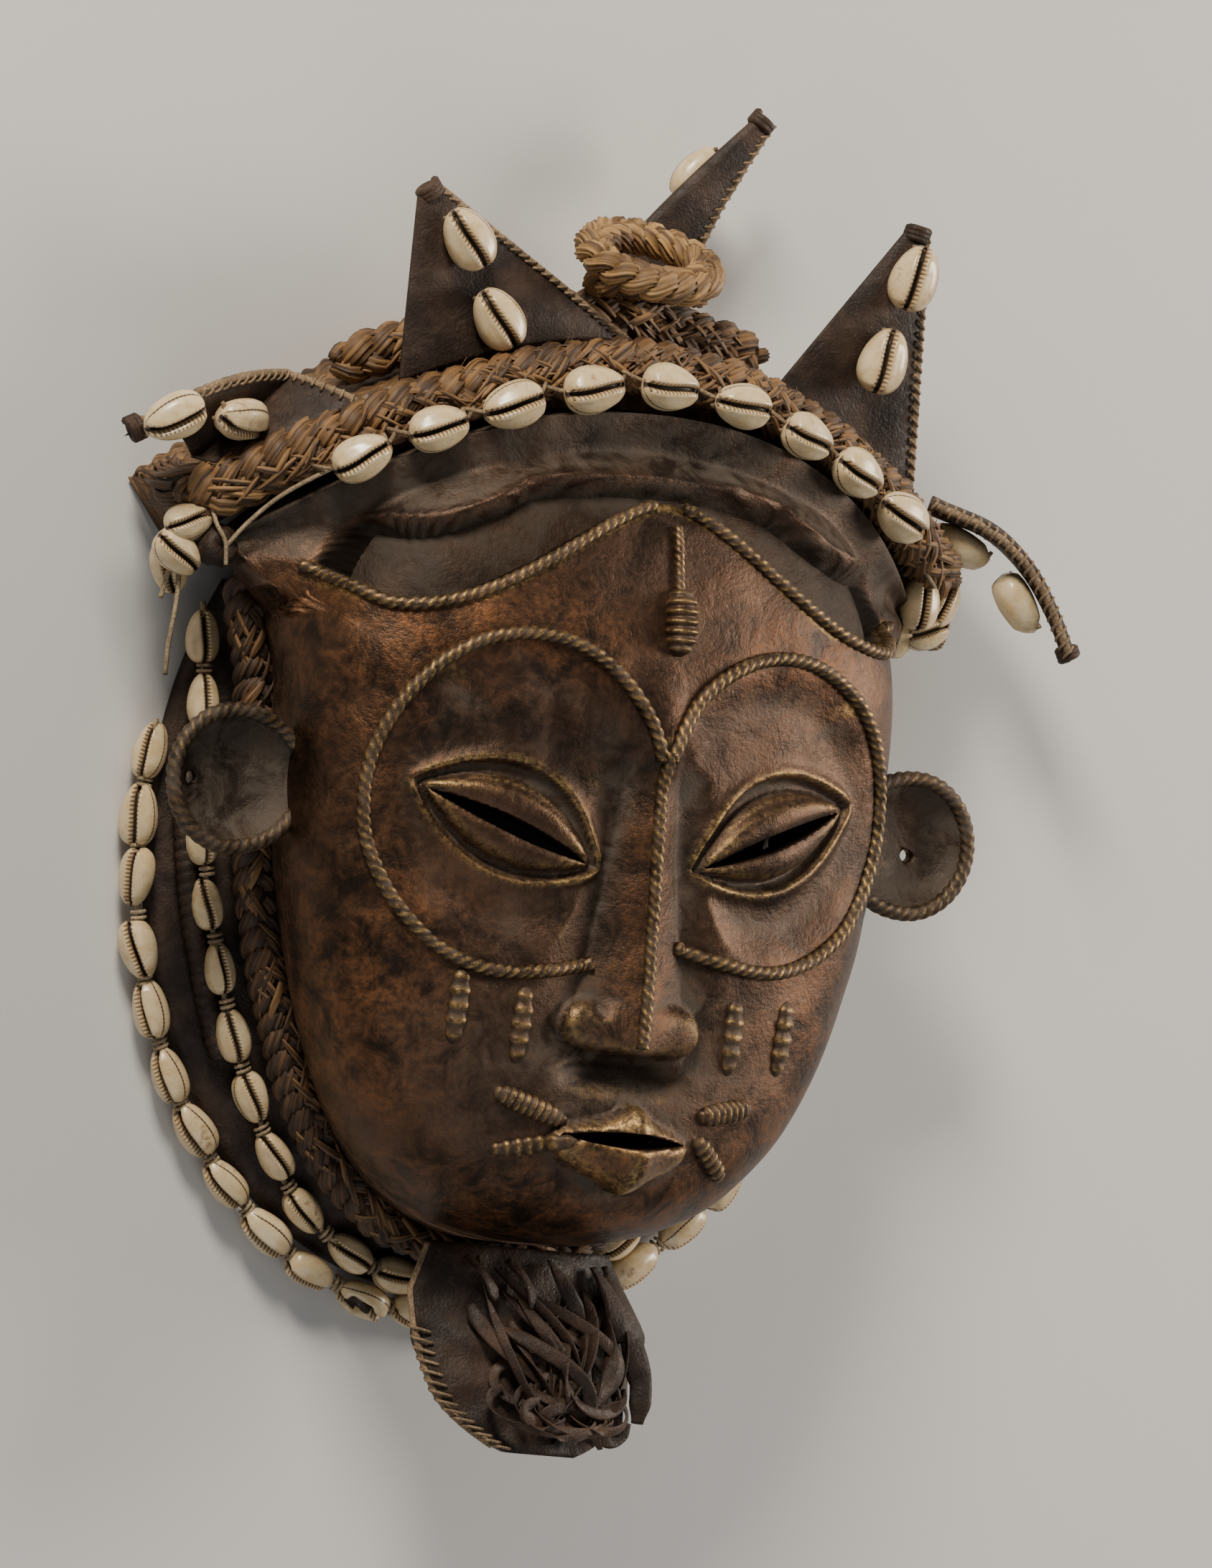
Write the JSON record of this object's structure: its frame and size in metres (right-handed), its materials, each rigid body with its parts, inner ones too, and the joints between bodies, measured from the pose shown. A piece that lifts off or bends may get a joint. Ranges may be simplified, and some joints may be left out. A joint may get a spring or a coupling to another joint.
{
  "type": "bronze mask",
  "caption": "Cast bronze face mask with rope-edged eye discs, a raffia cap with leather horns and cowries, and a leather beard, lying on its back.",
  "frame": {"origin": "on the surface that the mask lies on, at the middle of its box seen from above", "axes": "+X to the right of the face as it is seen, +Y up the face towards the crown, +Z out of the face"},
  "size_m": [0.3466, 0.4134, 0.1087],
  "materials": {
    "bronze": "dark brown patinated cast bronze, dusty in the hollows, warm and shinier on raised edges",
    "raffia": "dry brown plaited fibre",
    "leather": "dark worn leather with stitched edges",
    "shell": "cream cowrie shell, glossy"
  },
  "bodies": {
    "root": {"bronze_mask": "bronze", "side_collar": "leather", "side_braid": "raffia", "outer_cowrie_row": "shell", "inner_cowrie_row": "shell", "raffia_cap": "raffia", "brim_braid": "raffia", "crown_braid": "raffia", "crown_knot": "raffia", "temple_cluster_left": "shell", "temple_cluster_right": "shell", "beard_flap": "leather", "beard_thongs": "leather", "brim_cowrie_1": "shell", "brim_cowrie_2": "shell", "brim_cowrie_3": "shell", "brim_cowrie_4": "shell", "brim_cowrie_5": "shell", "brim_cowrie_6": "shell", "brim_cowrie_7": "shell", "brim_cowrie_8": "shell", "brim_cowrie_9": "shell", "horn_left": "leather", "horn_left_cowrie_1": "shell", "horn_left_cowrie_2": "shell", "horn_right": "leather", "horn_right_cowrie_1": "shell", "horn_right_cowrie_2": "shell", "horn_back": "leather", "horn_back_cowrie_1": "shell", "horn_back_cowrie_2": "shell", "horn_far_left": "leather", "horn_far_left_cowrie_1": "shell", "horn_far_left_cowrie_2": "shell", "horn_far_right": "leather", "horn_far_right_cowrie_1": "shell", "horn_far_right_cowrie_2": "shell"}
  },
  "joints": []
}
